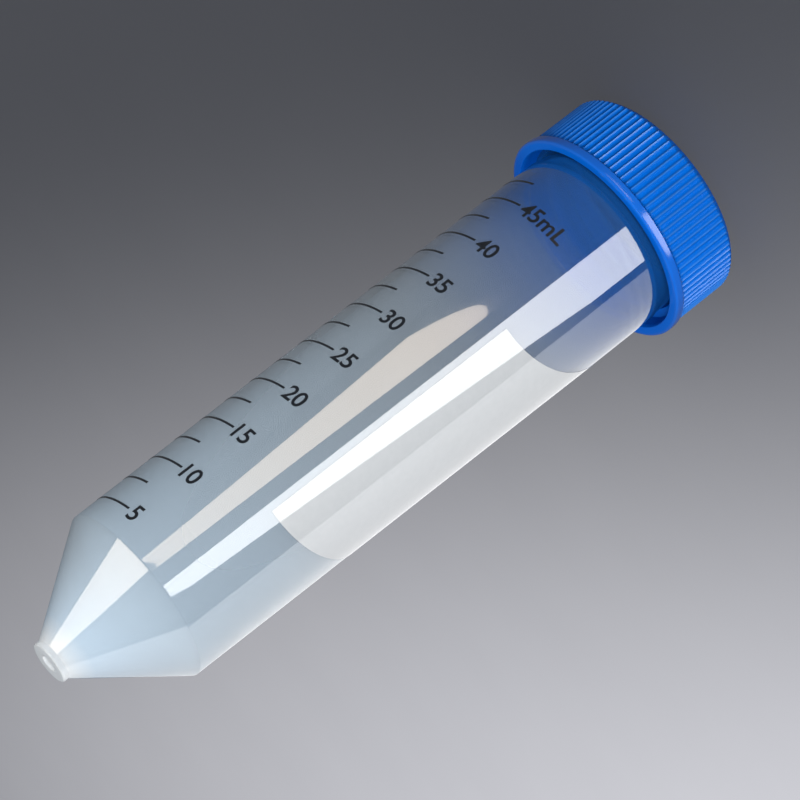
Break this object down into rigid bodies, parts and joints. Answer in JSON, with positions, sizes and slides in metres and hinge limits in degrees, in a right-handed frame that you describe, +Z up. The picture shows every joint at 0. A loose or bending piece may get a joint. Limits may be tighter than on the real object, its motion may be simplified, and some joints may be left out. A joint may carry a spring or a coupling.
{
  "type": "conical centrifuge tube",
  "caption": "Screw-capped conical lab tube with a cone bottom, printed graduations, a write-on patch and a ribbed screw cap.",
  "frame": {"origin": "centre of the cap's flat top, on the surface that the tube stands on", "axes": "+Z up along the tube from its cap to its tip, -X out through the bare strip between the printed scale and the write-on field"},
  "size_m": [0.035, 0.035, 0.1172],
  "materials": {
    "clear_polypropylene": "glossy translucent moulded polypropylene",
    "cap_plastic": "glossy injection-moulded polyethylene",
    "liner_plastic": "soft foamed polyethylene disc",
    "white_ink": "matt screen-printed white ink",
    "black_ink": "screen-printed black ink"
  },
  "bodies": {
    "cap": {"cap": "cap_plastic"},
    "liner": {"sealing_liner": "liner_plastic"},
    "tube": {"tube": "clear_polypropylene", "writing_patch": "white_ink", "graduation_marks": "black_ink"}
  },
  "joints": [
    {"name": "cap_turn", "type": "hinge", "parent": "cap", "child": "liner", "pos_m": [0, 0, 0], "axis": [0, 0, 1], "range_deg": [0, 1300]},
    {"name": "cap_lift", "type": "slide", "parent": "liner", "child": "tube", "axis": [0, 0, 1], "range_m": [0, 0.0131]}
  ],
  "couplings": [
    {"joint": "cap_lift", "follows": "cap_turn", "m_per_rad": 0.00057296}
  ]
}
